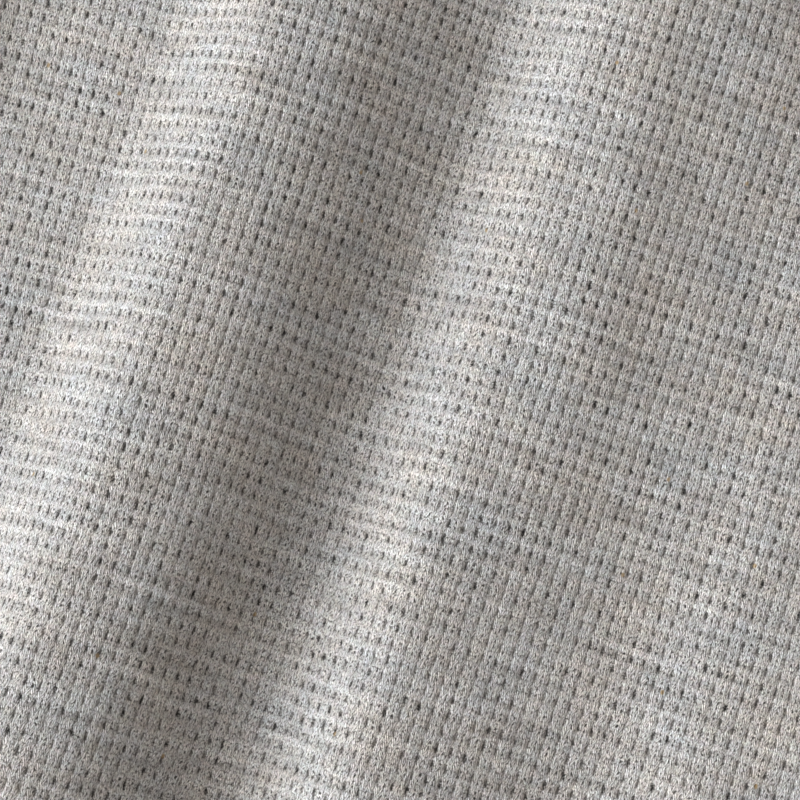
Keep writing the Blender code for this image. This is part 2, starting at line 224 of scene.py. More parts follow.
def laid_x(u, v):
    u, v = np.broadcast_arrays(np.asarray(u, float), np.asarray(v, float))
    iu = np.clip((u - LAY_U[0]) / (LAY_U[1] - LAY_U[0]), 0, len(LAY_U) - 1.001)
    iv = np.clip((v - LAY_V[0]) / (LAY_V[1] - LAY_V[0]), 0, len(LAY_V) - 1.001)
    a, b = iu.astype(int), iv.astype(int)
    fu, fv = iu - a, iv - b
    return ((1 - fv) * ((1 - fu) * LAY[b, a] + fu * LAY[b, a + 1])
            + fv * ((1 - fu) * LAY[b + 1, a] + fu * LAY[b + 1, a + 1]))


def side_x(v, sign):
    return laid_x(sign * half_width(v), v)


def front_sheet(u, v, edge=0.02):
    """Upper face of the front at cut points, with edge the distance to the outline."""
    x = laid_x(u, v)
    lift = fold_height(x, v) * smooth((half_width(v) - np.abs(u)) / 0.025)
    z = FRONT_TOP + lift + FRONT_EASE * smooth(lift / 0.002)
    z = z + ridges(CREASES, x, v) * smooth(edge / 0.012)
    z = z + hem_and_seams(v, edge)
    return drift(np.stack([x, v, z], -1))


def back_sheet(u, v, edge=0.02):
    left, right = side_x(v, -1), side_x(v, 1)
    x = u * np.where(u < 0, -left, right) / half_width(v)
    return drift(np.stack([x, v, WALL + 0.5 * hem_and_seams(v, edge)], -1))


def hem_and_seams(v, edge):
    """Relief of the turned hem with its two rows of stitches, and of the seam
    allowance under the cloth along the other edges."""
    up = v - HEM_Y
    hem = 0.00045 * (1 - smooth((up - HEM_TURN + 0.0005) / 0.0015))
    for row in (0.0045, 0.0015):
        hem = hem - 0.00042 * np.exp(-((up - HEM_TURN + row) / 0.0008) ** 2)
    allowance = 0.00035 * (1 - smooth((edge - 0.0058) / 0.0016)) * smooth((up - 0.030) / 0.01)
    roll = -0.0007 * (1 - smooth(edge / 0.0035)) * smooth((up - 0.001) / 0.003)
    return hem + allowance + roll


def normals_of(sheet, u, v, edge):
    d = 0.0003
    du = sheet(u + d, v, edge) - sheet(u - d, v, edge)
    dv = sheet(u, v + d, edge) - sheet(u, v - d, edge)
    n = np.cross(du, dv)
    return n / np.linalg.norm(n, axis=-1, keepdims=True)


# ---------------------------------------------------------------- camera
up_on_ground = Vector((-math.sin(LEAN), math.cos(LEAN), 0.0))
right_on_ground = Vector((math.cos(LEAN), math.sin(LEAN), 0.0))
to_camera = (-up_on_ground * math.cos(CAMERA_RISE) + Vector((0, 0, math.sin(CAMERA_RISE)))).normalized()
camera_place = TARGET + to_camera * CAMERA_REACH
camera_up = to_camera.cross(right_on_ground)

camera_data = bpy.data.cameras.new("camera")
camera_data.sensor_width = SENSOR * 1000
camera_data.lens = SENSOR * 1000 * CAMERA_REACH / CAMERA_SPAN
camera_data.clip_start, camera_data.clip_end = 0.01, 50
camera = bpy.data.objects.new("camera", camera_data)
bpy.context.scene.collection.objects.link(camera)
camera.matrix_world = Matrix.Translation(camera_place) @ Matrix(
    (right_on_ground, camera_up, to_camera)).transposed().to_4x4()
bpy.context.scene.camera = camera


def picture_place(points):
    """Where points fall in the 800 by 800 picture, in pixels from its middle."""
    d = points - np.array(camera_place)
    depth = -(d @ np.array(to_camera))
    scale = IMAGE_SIDE * CAMERA_REACH / CAMERA_SPAN / depth
    return d @ np.array(right_on_ground) * scale, d @ np.array(camera_up) * scale


# ---------------------------------------------------------------- node helper
class Value:
    """A socket in a node tree that takes arithmetic."""

    def __init__(self, net, socket):
        self.net, self.socket = net, socket

    def __add__(self, o): return self.net.math("ADD", self, o)
    def __radd__(self, o): return self.net.math("ADD", o, self)
    def __sub__(self, o): return self.net.math("SUBTRACT", self, o)
    def __rsub__(self, o): return self.net.math("SUBTRACT", o, self)
    def __mul__(self, o): return self.net.math("MULTIPLY", self, o)
    def __rmul__(self, o): return self.net.math("MULTIPLY", o, self)
    def __truediv__(self, o): return self.net.math("DIVIDE", self, o)


class Net:
    def __init__(self, name, roughness, sheen):
        self.material = bpy.data.materials.new(name)
        self.material.use_nodes = True
        self.tree = self.material.node_tree
        self.shader = self.tree.nodes["Principled BSDF"]
        self.shader.inputs["Roughness"].default_value = roughness
        self.shader.inputs["Specular IOR Level"].default_value = 0.25
        self.shader.inputs["Sheen Weight"].default_value = sheen
        self.shader.inputs["Sheen Roughness"].default_value = 0.55

    def put(self, value, socket):
        if isinstance(value, Value):
            self.tree.links.new(value.socket, socket)
        elif value is not None:
            socket.default_value = value

    def node(self, kind, **settings):
        n = self.tree.nodes.new(kind)
        for key, setting in settings.items():
            setattr(n, key, setting)
        return n

    def math(self, operation, a, b=None, c=None, clamp=False):
        n = self.node("ShaderNodeMath", operation=operation, use_clamp=clamp)
        for value, socket in zip((a, b, c), n.inputs):
            self.put(value, socket)
        return Value(self, n.outputs[0])

    def floor(self, a): return self.math("FLOOR", a)
    def fract(self, a): return self.math("FRACT", a)
    def abs(self, a): return self.math("ABSOLUTE", a)
    def min(self, a, b): return self.math("MINIMUM", a, b)
    def max(self, a, b): return self.math("MAXIMUM", a, b)
    def sine(self, a): return self.math("SINE", a)
    def root(self, a): return self.math("SQRT", a)
    def above(self, a, b): return self.math("GREATER_THAN", a, b)

    def step(self, a, low, high, out_low=0.0, out_high=1.0):
        """Smooth change from out_low at low to out_high at high."""
        n = self.node("ShaderNodeMapRange", interpolation_type="SMOOTHSTEP", clamp=True)
        for value, socket in zip((a, low, high, out_low, out_high), n.inputs):
            self.put(value, socket)
        return Value(self, n.outputs[0])

    def vector(self, x, y, z=0.0):
        n = self.node("ShaderNodeCombineXYZ")
        for value, socket in zip((x, y, z), n.inputs):
            self.put(value, socket)
        return Value(self, n.outputs[0])

    def split(self, a):
        n = self.node("ShaderNodeSeparateXYZ")
        self.put(a, n.inputs[0])
        return tuple(Value(self, s) for s in n.outputs)

    def cloth_place(self):
        n = self.node("ShaderNodeUVMap", uv_map="cut")
        x, y, _ = self.split(Value(self, n.outputs[0]))
        return x * 1000.0, y * 1000.0

    def attribute(self, name):
        n = self.node("ShaderNodeAttribute", attribute_name=name)
        return Value(self, n.outputs["Fac"])

    def noise(self, place, scale=1.0, detail=0.0, rough=0.5):
        n = self.node("ShaderNodeTexNoise", noise_dimensions="3D")
        self.put(place, n.inputs["Vector"])
        n.inputs["Scale"].default_value = scale
        n.inputs["Detail"].default_value = detail
        n.inputs["Roughness"].default_value = rough
        return Value(self, n.outputs["Fac"]), Value(self, n.outputs["Color"])

    def white(self, place):
        n = self.node("ShaderNodeTexWhiteNoise", noise_dimensions="3D")
        self.put(place, n.inputs["Vector"])
        return Value(self, n.outputs["Value"]), Value(self, n.outputs["Color"])

    def mix(self, share, a, b):
        n = self.node("ShaderNodeMix", data_type="RGBA", clamp_factor=True)
        self.put(share, n.inputs[0])
        for value, socket in ((a, n.inputs[6]), (b, n.inputs[7])):
            self.put(value, socket)
        return Value(self, n.outputs[2])

    def scale_colour(self, colour, factor):
        n = self.node("ShaderNodeVectorMath", operation="SCALE")
        self.put(colour, n.inputs[0])
        self.put(factor, n.inputs["Scale"])
        return Value(self, n.outputs[0])

    def combine(self, operation, a, b):
        n = self.node("ShaderNodeVectorMath", operation=operation)
        self.put(a, n.inputs[0])
        self.put(b, n.inputs[1])
        return Value(self, n.outputs[0])

    def finish(self, colour, height_mm, strength=1.0):
        self.put(colour, self.shader.inputs["Base Color"])
        n = self.node("ShaderNodeBump")
        n.inputs["Strength"].default_value = strength
        n.inputs["Distance"].default_value = 0.001
        self.put(height_mm, n.inputs["Height"])
        self.tree.links.new(n.outputs["Normal"], self.shader.inputs["Normal"])
        return self.material


# ---------------------------------------------------------------- materials
def stitches(net, u, v, wale, course, slope=3.75):
    """The legs of a plain knit.  Gives where a point is in its leg, and the
    melange of the yarn along it."""
    w = u / wale
    wale_number = net.floor(w)
    a = net.fract(w) - 0.5
    out = net.abs(a)
    side = net.above(a, 0.0)
    s = v / course - out * slope
    leg_number = net.floor(s)
    across = net.abs(net.fract(s) * 2.0 - 1.0)            # 0 on the leg, 1 in the gap
    body = 1.0 - across * across
    strand = wale_number * 3.71 + side * 1.37
    fibre, _ = net.noise(net.vector(s * 2.0, out * 6.0 + v * 0.9, strand), detail=2.0, rough=0.7)
    fleck, _ = net.white(net.vector(strand, leg_number, net.floor(out * 3.2 + leg_number * 0.37)))
    return {"out": out, "body": body, "fibre": fibre, "fleck": fleck,
            "wale": wale_number, "leg": leg_number}


def melange(net, u0, v0, tone, base):
    """Colour of the yarn: faint tan, blue and green fibres, a slow change of the
    same kind, and the darker places a little warmer than the pale ones: the dark
    fibres, and the painted shade of the knit's gaps that tone also holds."""
    tint, tint_colour = net.noise(net.vector(u0 * 1.9, v0 * 2.2, 60.0), detail=1.0)
    _, green, _ = net.split(tint_colour)
    wash, wash_colour = net.noise(net.vector(u0 * 0.50, v0 * 0.65, 71.0), detail=1.0)
    _, slow_green, _ = net.split(wash_colour)
    slow, _ = net.noise(net.vector(u0 * 0.085, v0 * 0.10, 83.0), detail=1.0)
    # warmer where the tone is darker, in dark fibres and in painted shade alike
    warm = ((tint - 0.5) * 0.10 + (wash - 0.5) * 0.125 + (slow - 0.5) * 0.14
            + (0.92 - net.min(tone, 1.2)) * 0.042)
    green = (green - 0.5) * 0.13 + (slow_green - 0.5) * 0.07
    return net.vector(base[0] * (1.0 + warm), base[1] * (1.0 + green), base[2] * (1.0 - warm))


def waffle_material():
    net = Net("waffle_knit", 0.95, 0.22)
    u0, v0 = net.cloth_place()
    # stitches stand a little out of line
    _, waver = net.noise(net.vector(u0 * 0.42, v0 * 0.42, 3.0))
    wu, wv, _ = net.split(waver)
    _, shake = net.noise(net.vector(u0 * 1.3, v0 * 1.5, 9.0))
    su, sv, _ = net.split(shake)
    u = u0 + (wu - 0.5) * 0.44 + (su - 0.5) * 0.28
    v = v0 + (wv - 0.5) * 0.56 + (sv - 0.5) * 0.32

    st = stitches(net, u, v, WALE * 1000, COURSE * 1000)

    # one long gap a cell where two wales part, and two small ones between them
    p, q = u / (CELL_U * 1000), v / (CELL_V * 1000)
    pa, qa = net.fract(p + 0.5) - 0.5, net.fract(q + 0.5) - 0.5
    cell = net.vector(net.floor(p + 0.5), net.floor(q + 0.5), 1.0)
    luck, luck_colour = net.white(cell)
    l1, l2, l3 = net.split(luck_colour)
    lean = pa + qa * 0.12
    nap, _ = net.noise(net.vector(u0 * 5.0, v0 * 4.4, 33.0))
    wide = lean / (0.084 + l1 * 0.05)
    tall = (qa - 0.02) / (0.225 + l2 * 0.10)
    ring = net.root(wide * wide + tall * tall) + (su - 0.5) * 0.8 + (nap - 0.5) * 1.6
    pit = net.step(ring, 1.65, 0.15)
    pb = net.fract(p) - 0.5
    dots = None
    for shift, size in ((-0.12, 0.095), (0.23, 0.085)):
        q1 = net.fract(q + 0.5 - shift) - 0.5
        x1, y1 = pb / 0.062, q1 / size
        one = net.step(net.root(x1 * x1 + y1 * y1) + (sv - 0.5) * 0.8 + (nap - 0.5) * 1.8, 1.6, 0.3)
        dots = one if dots is None else net.max(dots, one)
    dots = net.min(dots * (0.30 + l3 * 0.9), 1.0)

    # shade between the yarns
    wale_gap = net.step(st["out"], 0.30, 0.50)
    middle_gap = net.step(st["out"], 0.12, 0.0)
    leg_gap = net.step(st["body"], 0.75, 0.0)
    qb = net.fract(q + 0.72) - 0.5
    row_gap = net.step(net.abs(qb), 0.34, 0.02)           # the tucked course, a little below the gap's middle
    by_gap = net.step(net.abs(pa), 0.34, 0.20)            # the legs beside a long gap lie lower
    shade = ((1.0 - pit * (0.38 + luck * 0.60)) * (1.0 - dots * 0.88) * (1.0 - row_gap * 0.04)
             * (1.0 - wale_gap * 0.05) * (1.0 - middle_gap * 0.34) * (1.0 - leg_gap * 0.42) * (1.0 - by_gap * 0.02))

    # melange: dark and pale fibres, patches of yarn, streaks along the courses
    patch, _ = net.noise(net.vector(u0 * 1.1, v0 * 1.5, 21.0), detail=1.0, rough=0.6)
    course_number = net.floor(v / (COURSE * 1000))
    streak, _ = net.noise(net.vector(u0 * 0.085, course_number * 1.7, 5.0), detail=1.0)
    band, _ = net.noise(net.vector(u0 * 0.07, v0 * 0.60, 15.0), detail=1.0)
    cloud, _ = net.noise(net.vector(u0 * 0.12, v0 * 0.12, 40.0))
    grain, _ = net.noise(net.vector(u0 * 3.7, v0 * 3.4, 77.0), detail=1.0, rough=0.8)
    mottle, _ = net.noise(net.vector(u0 * 0.26, v0 * 0.30, 52.0), detail=2.0, rough=0.7)
    speck, _ = net.noise(net.vector(u0 * 3.0, v0 * 2.4, 88.0), detail=1.0, rough=0.7)
    dark_fibre = net.step(speck, 0.52, 0.66)
    stroke = net.step(st["fibre"], 0.48, 0.36)
    tone = (1.54 + (st["fibre"] - 0.5) * 1.7 + (st["fleck"] - 0.5) * 0.62 + (nap - 0.5) * 2.8 + (grain - 0.5) * 2.4
            + (patch - 0.5) * 1.50)
    tone = tone - net.max(tone - 1.12, 0.0) * 0.92
    slow_tone = (1.0 + (mottle - 0.5) * 0.38 + (streak - 0.5) * 0.36 + (band - 0.5) * 0.74 + (cloud - 0.5) * 0.06)
    tone = net.max(tone, 0.18) * (1.0 - dark_fibre * 0.56) * (1.0 - stroke * 0.64) * shade * slow_tone

    colour = net.scale_colour(melange(net, u0, v0, tone, (0.723, 0.696, 0.670)), tone)

    # a rare tan nep
    _, spot = net.white(net.vector(net.floor(u0 / 9.0), net.floor(v0 / 9.0), 2.0))
    nx, ny, nz = net.split(spot)
    ex = net.fract(u0 / 9.0) - (0.1 + nx * 0.8)
    ey = net.fract(v0 / 9.0) - (0.1 + ny * 0.8)
    nep = net.step(net.root(ex * ex + ey * ey * 0.6) * 9.0, 0.34, 0.16) * net.above(nz, 0.86)
    colour = net.mix(nep * 0.8, colour, (0.40, 0.27, 0.12, 1.0))

    fine = net.attribute("fine")
    height = (st["body"] * 0.085 - wale_gap * 0.06 - middle_gap * 0.05
              + (st["fibre"] - 0.5) * 0.10 - dots * 0.10 - pit * (0.30 - fine * 0.14))
    return net.finish(colour, height)


def rib_material():
    net = Net("rib_knit", 0.95, 0.22)
    u0, v0 = net.cloth_place()
    _, shake = net.noise(net.vector(u0 * 0.9, v0 * 0.9, 3.0))
    su, sv, _ = net.split(shake)
    u = u0 + (su - 0.5) * 0.20
    v = v0 + (sv - 0.5) * 0.24
    st = stitches(net, u, v, RIB_PITCH * 500, COURSE * 1000)
    rib = net.sine((u / (RIB_PITCH * 1000) + 0.25) * (2 * math.pi)) * 0.5 + 0.5   # 1 on a rib
    leg_gap = net.step(st["body"], 0.75, 0.0)
    patch, _ = net.noise(net.vector(u0 * 0.9, v0 * 1.2, 21.0), detail=1.0)
    grain, _ = net.noise(net.vector(u0 * 3.7, v0 * 3.4, 77.0), detail=1.0, rough=0.8)
    # painted shade: the tone is darker in the gaps between the legs and in the furrows between the ribs, where the
    # bump sinks
    tone = ((1.0 + (st["fibre"] - 0.5) * 1.4 + (st["fleck"] - 0.5) * 0.50 + (patch - 0.5) * 0.8 + (grain - 0.5) * 1.8)
            * (1.0 - leg_gap * 0.24) * (0.66 + rib * 0.34))
    tone = net.max(tone, 0.15)
    colour = net.scale_colour(melange(net, u0, v0, tone, (0.560, 0.539, 0.519)), tone)
    height = rib * 0.10 + st["body"] * 0.06 + (st["fibre"] - 0.5) * 0.07
    return net.finish(colour, height)


def thread_material():
    net = Net("thread", 0.75, 0.15)
    u0, v0 = net.cloth_place()
    twist = net.sine((u0 * 1.9 + v0 * 2.6) * (2 * math.pi)) * 0.5 + 0.5
    fuzz, _ = net.noise(net.vector(u0 * 3.0, v0 * 3.0, 1.0), detail=1.0)
    # painted light and shade: lighter on the crests of the twist and darker between them, following the twist's bump
    colour = net.scale_colour(net.vector(0.62, 0.60, 0.58), 0.74 + twist * 0.24 + fuzz * 0.26)
    return net.finish(colour, twist * 0.05)


def floor_material():
    net = Net("floor", 0.8, 0.0)
    place = net.node("ShaderNodeNewGeometry")
    x, y, _ = net.split(Value(net, place.outputs["Position"]))
    grain, _ = net.noise(net.vector(x * 1.3, y * 1.3, 0.0), detail=2.0)
    colour = net.scale_colour(net.vector(0.80, 0.795, 0.785), 0.985 + grain * 0.03)
    net.put(colour, net.shader.inputs["Base Color"])
    return net.material


WAFFLE, RIB, THREAD = waffle_material(), rib_material(), thread_material()


# ---------------------------------------------------------------- mesh helper
def add_piece(name, verts, faces, cut, material, fine=None):
    """A piece from its vertices, faces and the cut place of each face corner."""
    verts = np.array(verts, float)
    verts[:, 2] = np.maximum(verts[:, 2], 0.0)           # nothing sinks into what it lies on
    mesh = bpy.data.meshes.new(name)
    mesh.from_pydata([tuple(p) for p in verts], [], faces)
    layer = mesh.uv_layers.new(name="cut")
    layer.data.foreach_set("uv", np.asarray(cut, np.float32).ravel())
    if fine is not None:
        mesh.attributes.new("fine", "FLOAT", "POINT").data.foreach_set("value", np.asarray(fine, np.float32))
    mesh.shade_smooth()
    mesh.materials.append(material)
    mesh.validate()
    obj = bpy.data.objects.new(name, mesh)
    bpy.context.scene.collection.objects.link(obj)
    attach(obj, "root")
    return obj


def lattice(low, high, pitch):
    """A hexagonal lattice of points over a box."""
    ys = np.arange(low[1], high[1], pitch * 0.866)
    rows = [np.stack([np.arange(low[0] + (k % 2) * pitch / 2, high[0], pitch),
                      np.full(len(np.arange(low[0] + (k % 2) * pitch / 2, high[0], pitch)), y)], -1)
            for k, y in enumerate(ys)]
    return np.concatenate(rows)


def distance_to(points, loop):
    """Distance of points to a closed loop of segments."""
    a, b = loop, np.roll(loop, -1, axis=0)
    ab = b - a
    long2 = np.maximum((ab ** 2).sum(-1), 1e-18)
    out = np.empty(len(points))
    for k in range(0, len(points), 4000):
        p = points[k:k + 4000, None]
        t = np.clip(((p - a) * ab).sum(-1) / long2, 0, 1)
        out[k:k + 4000] = np.sqrt(((p - a - t[..., None] * ab) ** 2).sum(-1).min(1))
    return out


def inside(points, loop):
    a, b = loop, np.roll(loop, -1, axis=0)
    out = np.zeros(len(points), bool)
    for k in range(0, len(points), 4000):
        x, y = points[k:k + 4000, None, 0], points[k:k + 4000, None, 1]
        cross = (a[:, 1] > y) != (b[:, 1] > y)
        with np.errstate(divide="ignore", invalid="ignore"):
            at = a[:, 0] + (y - a[:, 1]) / (b[:, 1] - a[:, 1]) * (b[:, 0] - a[:, 0])
        out[k:k + 4000] = (cross & (x < at)).sum(1) % 2 == 1
    return out


def outline(drop, inset):
    """Closed outline of a body panel in the cut, counter-clockwise, inset a little."""
    n = lambda length, pitch: max(2, int(round(length / pitch)))
    hem = np.linspace(-HALF_HEM, HALF_HEM, n(2 * HALF_HEM, 0.003) + 1)
    hem = np.stack([hem, np.full_like(hem, HEM_Y)], -1)
    v = np.concatenate([np.linspace(HEM_Y, UNDERARM_Y, n(UNDERARM_Y - HEM_Y, 0.0035) + 1),
                        np.linspace(UNDERARM_Y, TIP_Y, n(TIP_Y - UNDERARM_Y, 0.0025) + 1)[1:]])
    side = np.stack([half_width(v), v], -1)
    t = np.linspace(0, 1, n(0.13, 0.003) + 1)[1:, None]
    shoulder = (1 - t) * [HALF_SHOULDER, TIP_Y] + t * np.array([HALF_NECK, NECK_Y])
    a = np.linspace(0, math.pi, n(0.26 if drop > 0.05 else 0.19, 0.003) + 1)[1:-1]
    neck = np.stack([HALF_NECK * np.cos(a), NECK_Y - drop * np.sin(a)], -1)
    mirror = lambda line: line[::-1] * [-1, 1]
    loop = np.concatenate([hem, side[1:], shoulder, neck, mirror(shoulder), mirror(side)[:-1]])
    loop = loop[np.concatenate([[True], np.linalg.norm(np.diff(loop, axis=0), axis=1) > 1e-6])]
    run = np.roll(loop, -1, axis=0) - loop
    run /= np.linalg.norm(run, axis=1, keepdims=True)
    both = run + np.roll(run, 1, axis=0)
    both /= np.linalg.norm(both, axis=1, keepdims=True)
    inward = np.stack([-both[:, 1], both[:, 0]], -1)
    return loop + inset * inward, loop


def fill(loop, extra_points, holes=(), keep=None):
    """Triangles over a closed loop, through extra points.  holes are edges of
    an inner loop whose inside, told by keep, is left open."""
    points = [loop] + [h[0] for h in holes] + [extra_points]
    offset = len(loop)
    edges = [(k, (k + 1) % len(loop)) for k in range(len(loop))]
    for h_points, h_edges in holes:
        edges += [(a + offset, b + offset) for a, b in h_edges]
        offset += len(h_points)
    points = np.concatenate(points)
    out = delaunay_2d_cdt([Vector(p) for p in points], edges, [], 0, 1e-7)
    made, faces, source = np.array([tuple(p) for p in out[0]]), np.array(out[2]), out[3]
    index = np.array([s[0] if s else -1 for s in source])
    middle = made[faces].mean(1)
    ok = inside(middle, loop)
    if keep is not None:
        ok &= keep(middle)
    faces = faces[ok]
    # back to the given numbering; a vertex that the filling made comes last
    extra = np.where(index < 0)[0]
    index[extra] = len(points) + np.arange(len(extra))
    points = np.concatenate([points, made[extra]]) if len(extra) else points
    faces = index[faces]
    p = points[faces]
    turn = np.cross(p[:, 1] - p[:, 0], p[:, 2] - p[:, 0])
    faces[turn < 0] = faces[turn < 0][:, ::-1]
    return points, faces[np.abs(turn) > 1e-14]


# ---------------------------------------------------------------- front panel
def fine_cells():
    """Cells of the knit that are modelled one by one: their numbers, and which of
    them fall in the picture or near it."""
    i, j = np.meshgrid(np.arange(-70, 71), np.arange(-90, 60))
    u, v = (i + 0.5) * CELL_U, (j + 0.5) * CELL_V
    px, py = picture_place(front_sheet(u, v))
    reach = IMAGE_SIDE / 2 + 20
    chosen = (np.abs(px) < reach) & (np.abs(py) < reach)
    return i, j, chosen


ACROSS = np.array([0.0, 0.13, 0.36, 0.64, 0.87])        # lines of a cell, 0 at the long gap
ALONG = np.array([-0.36, -0.13, 0.13, 0.36])            # and along it, 0 in the gap's middle
DEPTH = np.array([                                      # how far each corner lies below the ribs, mm
    [0.04, 0.00, 0.00, 0.00, 0.00],
    [0.29, 0.05, 0.00, 0.00, 0.05],
    [0.29, 0.05, 0.00, 0.00, 0.05],
    [0.04, 0.00, 0.00, 0.00, 0.00],
]) / 1000


def front_panel():
    rng = np.random.default_rng(7)
    ci, cj, chosen = fine_cells()
    i0, j0 = ci[chosen].min(), cj[chosen].min()
    ni, nj = ci[chosen].max() - i0 + 1, cj[chosen].max() - j0 + 1
    mask = np.zeros((nj, ni), bool)
    mask[cj[chosen] - j0, ci[chosen] - i0] = True
    for row in mask:                                     # no holes along a row
        on = np.where(row)[0]
        if len(on):
            row[on[0]:on[-1] + 1] = True
    big = np.kron(mask, np.ones((4, 5), bool))
    rows, cols = big.shape
    at = np.zeros((rows + 1, cols + 1), bool)
    at[:-1, :-1] |= big
    at[1:, :-1] |= big
    at[:-1, 1:] |= big
    at[1:, 1:] |= big
    number = np.full(at.shape, -1)
    number[at] = np.arange(at.sum())
    jj, ii = np.where(at)
    fine_uv = np.stack([(i0 + ii // 5 + ACROSS[ii % 5]) * CELL_U,
                        (j0 + jj // 4 + ALONG[jj % 4]) * CELL_V], -1)
    qj, qi = np.where(big)
    quads = np.stack([number[qj, qi], number[qj, qi + 1], number[qj + 1, qi + 1], number[qj + 1, qi]], -1)
    # the fine part's own edge
    hard = []
    padded = np.pad(big, 1)
    for dj, di, e0, e1 in ((-1, 0, (0, 0), (0, 1)), (1, 0, (1, 0), (1, 1)),
                           (0, -1, (0, 0), (1, 0)), (0, 1, (0, 1), (1, 1))):
        away = ~padded[qj + 1 + dj, qi + 1 + di]
        hard.append(np.stack([number[qj[away] + e0[0], qi[away] + e0[1]],
                              number[qj[away] + e1[0], qi[away] + e1[1]]], -1))
    hard = np.concatenate(hard)
    rim_ids, local = np.unique(hard, return_inverse=True)
    local = local.reshape(-1, 2)
    rim_uv = fine_uv[rim_ids]
    # distance of each fine vertex from that edge
    tree_d = np.empty(len(fine_uv))
    for k in range(0, len(fine_uv), 2000):
        tree_d[k:k + 2000] = np.sqrt(((fine_uv[k:k + 2000, None] - rim_uv[None]) ** 2).sum(-1).min(1))
    fade = smooth(tree_d / 0.0028)

    # the rest of the upper face
    loop, full = outline(FRONT_DROP, WALL / 2)
    low, high = loop.min(0), loop.max(0)
    clouds = []
    for pitch, near, far in ((0.0009, 0.0, 0.0016), (0.0018, 0.0016, 0.0050),
                             (0.0032, 0.0050, 0.0130), (0.0049, 0.0130, 9.0)):
        box_low = np.maximum(low, rim_uv.min(0) - far - 0.01)
        box_high = np.minimum(high, rim_uv.max(0) + far + 0.01)
        p = lattice(box_low, box_high, pitch)
        cell = np.floor((p - [i0 * CELL_U, (j0 + ALONG[0]) * CELL_V]) / [CELL_U, CELL_V]).astype(int)
        in_box = (cell[:, 0] >= 0) & (cell[:, 0] < ni) & (cell[:, 1] >= 0) & (cell[:, 1] < nj)
        covered = np.zeros(len(p), bool)
        covered[in_box] = mask[cell[in_box, 1], cell[in_box, 0]]
        p = p[~covered]
        d = np.empty(len(p))
        for k in range(0, len(p), 2000):
            d[k:k + 2000] = np.sqrt(((p[k:k + 2000, None] - rim_uv[None]) ** 2).sum(-1).min(1))
        p = p[(d >= max(near, 0.5 * pitch)) & (d < far)]
        clouds.append(p)
    cloud = np.concatenate(clouds)
    to_edge = distance_to(cloud, loop)
    keep_cloud = inside(cloud, loop) & (to_edge > 0.0095) & (cloud[:, 1] > HEM_Y + 0.0235)
    cloud = cloud[keep_cloud]
    # rows beside the seams and through the hem
    beside = []
    run = np.roll(loop, -1, axis=0) - np.roll(loop, 1, axis=0)
    run /= np.linalg.norm(run, axis=1, keepdims=True)
    inward = np.stack([-run[:, 1], run[:, 0]], -1)
    for k, off in enumerate((0.0010, 0.0022, 0.0038, 0.0056, 0.0076)):
        p = loop + off * inward
        p = p[(k % 2)::2] if off > 0.0012 else p
        p = p[distance_to(p, loop) > 0.93 * off]
        p = p[(p[:, 1] > HEM_Y + 0.0235)]
        beside.append(p)
    hem_rows = []
    for k, up in enumerate((0.0010, 0.0045, 0.0095, 0.0138, 0.0155, 0.0172, 0.0185, 0.0198, 0.0216)):
        width = float(half_width(HEM_Y + up)) - 0.0022
        x = np.linspace(-width, width, 124) + (0.0008 * (k % 2) if k % 2 else 0.0)
        hem_rows.append(np.stack([x, np.full_like(x, HEM_Y + up + WALL / 2)], -1))
    extra = np.concatenate([cloud] + beside + hem_rows)
    extra = extra[inside(extra, loop) & (distance_to(extra, loop) > 0.0006)]

    def outside_fine(p):
        cell = np.floor((p - [i0 * CELL_U, (j0 + ALONG[0]) * CELL_V]) / [CELL_U, CELL_V]).astype(int)
        ok = (cell[:, 0] >= 0) & (cell[:, 0] < ni) & (cell[:, 1] >= 0) & (cell[:, 1] < nj)
        covered = np.zeros(len(p), bool)
        covered[ok] = mask[cell[ok, 1], cell[ok, 0]]
        return ~covered

    points, faces = fill(loop, extra, holes=[(rim_uv, [tuple(e) for e in local])], keep=outside_fine)

    # one list of vertices: the filling first, then the rest of the fine part
    n_loop, n_fill = len(loop), len(points)
    fine_to_all = np.full(len(fine_uv), -1)
    fine_to_all[rim_ids] = n_loop + np.arange(len(rim_ids))
    rest = np.where(fine_to_all < 0)[0]
    fine_to_all[rest] = n_fill + np.arange(len(rest))
    uv = np.concatenate([points, fine_uv[rest]])
    quads = fine_to_all[quads]
    depth = np.zeros(len(uv))
    depth[fine_to_all] = DEPTH[jj % 4, ii % 5] * fade
    is_fine = np.zeros(len(uv))
    is_fine[fine_to_all] = fade
    edge = np.full(len(uv), 0.05)
    edge[:n_fill] = distance_to(points, full)
    # each stitch is a little out of its place, and each gap has its own depth
    luck = rng.uniform(0.45, 1.15, (nj + 1, ni + 1))
    depth[fine_to_all] *= luck[jj // 4, np.minimum((ii + 2) // 5, ni)]
    shift = np.zeros((len(uv), 2))
    shift[fine_to_all] = rng.normal(0, 0.000035, (len(fine_uv), 2)) * fade[:, None]
    uv_moved = uv + shift
    top = front_sheet(uv_moved[:, 0], uv_moved[:, 1], edge)
    normal = normals_of(front_sheet, uv_moved[:, 0], uv_moved[:, 1], edge)
    top = top - normal * depth[:, None]

    # the under face, coarse, on the same outline
    under_points = lattice(low, high, 0.0095)
    under_points = under_points[inside(under_points, loop) & (distance_to(under_points, loop) > 0.005)]
    under_uv, under_faces = fill(loop, under_points)
    under_edge = distance_to(under_uv, full)
    under = (front_sheet(under_uv[:, 0], under_uv[:, 1], under_edge)
             - WALL * normals_of(front_sheet, under_uv[:, 0], under_uv[:, 1], under_edge))
    return assemble("front_shell", uv, top, faces, quads, under_uv, under, under_faces, n_loop, is_fine)


